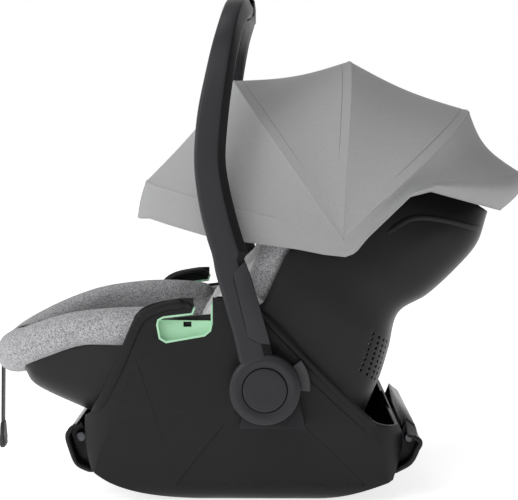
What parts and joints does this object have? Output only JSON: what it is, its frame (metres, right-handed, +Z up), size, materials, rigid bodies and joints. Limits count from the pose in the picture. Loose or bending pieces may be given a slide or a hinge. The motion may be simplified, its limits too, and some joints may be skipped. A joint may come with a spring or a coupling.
{
  "type": "infant car seat",
  "caption": "Rearward-facing infant carrier: rocking cradle with bucket seat, swinging carry handle, folding canopy, belt guides and harness.",
  "frame": {"origin": "on the floor below the middle of the seat's length and width", "axes": "+X towards the head end, +Y the occupant's right, +Z up"},
  "size_m": [0.6668, 0.4446, 0.605],
  "materials": {
    "shell_plastic": "matte",
    "handle_plastic": "matte",
    "lever_plastic": "matte",
    "guide_plastic": "satin",
    "seat_fabric": "matte",
    "insert_fabric": "matte",
    "canopy_fabric": "matte",
    "foam": "matte",
    "webbing": "matte",
    "tab_rubber": "matte",
    "steel": "satin",
    "buckle_plastic": "satin",
    "button_red": "gloss"
  },
  "bodies": {
    "seat": {"adapter_socket_left": "shell_plastic", "adapter_socket_right": "shell_plastic", "adjuster_housing": "buckle_plastic", "backrest_cover": "seat_fabric", "belt_guide_left": "guide_plastic", "belt_guide_right": "guide_plastic", "buckle_housing": "buckle_plastic", "canopy_bow_rear": "steel", "canopy_mount_left": "shell_plastic", "canopy_mount_right": "shell_plastic", "canopy_rear_panel": "canopy_fabric", "cradle_shell": "shell_plastic", "crotch_strap": "webbing", "foam_liner": "foam", "foot_roll": "seat_fabric", "front_bumper": "shell_plastic", "front_dock_bar": "steel", "harness_tongues": "buckle_plastic", "hip_straps": "webbing", "hub_housing_left": "shell_plastic", "hub_housing_right": "shell_plastic", "insert_wings": "insert_fabric", "leg_bolster_left": "seat_fabric", "leg_bolster_right": "seat_fabric", "leg_cover": "seat_fabric", "newborn_insert": "insert_fabric", "pull_tab": "tab_rubber", "rear_bumper": "shell_plastic", "rear_dock_bar": "steel", "seat_pad": "seat_fabric", "seat_shell": "shell_plastic", "shell_bosses": "shell_plastic", "shell_screws": "steel", "shoulder_pads": "webbing", "shoulder_straps": "webbing", "tail_strap": "webbing"},
    "handle": {"handle_frame": "handle_plastic", "handle_grip": "tab_rubber", "arm_cover_left": "handle_plastic", "arm_cover_right": "handle_plastic"},
    "hub_press_left": {"hub_button_left": "handle_plastic", "lock_gear_left": "lever_plastic"},
    "hub_press_right": {"hub_button_right": "handle_plastic", "lock_gear_right": "lever_plastic"},
    "lever_left": {"release_lever_left": "lever_plastic"},
    "lever_right": {"release_lever_right": "lever_plastic"},
    "latch_left": {"adapter_latch_left": "lever_plastic"},
    "latch_right": {"adapter_latch_right": "lever_plastic"},
    "canopy_mid": {"canopy_bow_mid": "steel", "canopy_back_panel": "canopy_fabric"},
    "canopy_front": {"canopy_bow_front": "steel", "canopy_mid_panel": "canopy_fabric"},
    "canopy_peak": {"canopy_bow_visor": "steel", "canopy_front_panel": "canopy_fabric", "canopy_visor": "canopy_fabric"},
    "headrest": {"headrest_shell": "shell_plastic", "headrest_pad": "seat_fabric"},
    "buckle_press": {"buckle_button": "button_red"},
    "adjuster_press": {"adjuster_button": "buckle_plastic"}
  },
  "joints": [
    {"name": "handle_swing", "type": "hinge", "parent": "seat", "child": "handle", "pos_m": [0.0089, 0, 0.1435], "axis": [0, 1, 0], "range_deg": [-95, 100]},
    {"name": "hub_button_press_left", "type": "slide", "parent": "handle", "child": "hub_press_left", "axis": [0, 1, 0], "range_m": [0, 0.004], "stiffness_N_per_m": 1500, "springref_m": -0.002},
    {"name": "hub_button_press_right", "type": "slide", "parent": "handle", "child": "hub_press_right", "axis": [0, -1, 0], "range_m": [0, 0.004], "stiffness_N_per_m": 1500, "springref_m": -0.002},
    {"name": "lever_pull_left", "type": "hinge", "parent": "seat", "child": "lever_left", "pos_m": [0.0089, 0, 0.1435], "axis": [0, -1, 0], "range_deg": [0, 12], "stiffness_Nm_per_rad": 0.8, "springref_deg": -5.73},
    {"name": "lever_pull_right", "type": "hinge", "parent": "seat", "child": "lever_right", "pos_m": [0.0089, 0, 0.1435], "axis": [0, -1, 0], "range_deg": [0, 12], "stiffness_Nm_per_rad": 0.8, "springref_deg": -5.73},
    {"name": "latch_slide_left", "type": "slide", "parent": "seat", "child": "latch_left", "axis": [1, 0, 0], "range_m": [0, 0.0045]},
    {"name": "latch_slide_right", "type": "slide", "parent": "seat", "child": "latch_right", "axis": [1, 0, 0], "range_m": [0, 0.0045]},
    {"name": "canopy_fold", "type": "hinge", "parent": "seat", "child": "canopy_mid", "pos_m": [0.097, 0, 0.315], "axis": [0, 1, 0], "range_deg": [0, 37.5], "deforming": ["canopy_back_panel"]},
    {"name": "canopy_front_fold", "type": "hinge", "parent": "canopy_mid", "child": "canopy_front", "pos_m": [0.097, 0, 0.315], "axis": [0, 1, 0], "range_deg": [0, 32.5], "deforming": ["canopy_mid_panel"]},
    {"name": "canopy_peak_fold", "type": "hinge", "parent": "canopy_front", "child": "canopy_peak", "pos_m": [0.097, 0, 0.315], "axis": [0, 1, 0], "range_deg": [0, 34], "deforming": ["canopy_front_panel"]},
    {"name": "headrest_slide", "type": "slide", "parent": "seat", "child": "headrest", "axis": [0.6157, 0, 0.788], "range_m": [0, 0.045]},
    {"name": "buckle_button_press", "type": "slide", "parent": "seat", "child": "buckle_press", "axis": [0, 0, -1], "range_m": [0, 0.002], "stiffness_N_per_m": 2500, "springref_m": -0.002},
    {"name": "adjuster_button_press", "type": "slide", "parent": "seat", "child": "adjuster_press", "axis": [0, 0, -1], "range_m": [0, 0.0025], "stiffness_N_per_m": 2500, "springref_m": -0.002}
  ],
  "couplings": [
    {"joint": "latch_slide_left", "follows": "lever_pull_left", "m_per_rad": 0.021008},
    {"joint": "latch_slide_right", "follows": "lever_pull_right", "m_per_rad": 0.021008},
    {"joint": "canopy_front_fold", "follows": "canopy_fold", "ratio": 0.866},
    {"joint": "canopy_peak_fold", "follows": "canopy_fold", "ratio": 0.906}
  ]
}
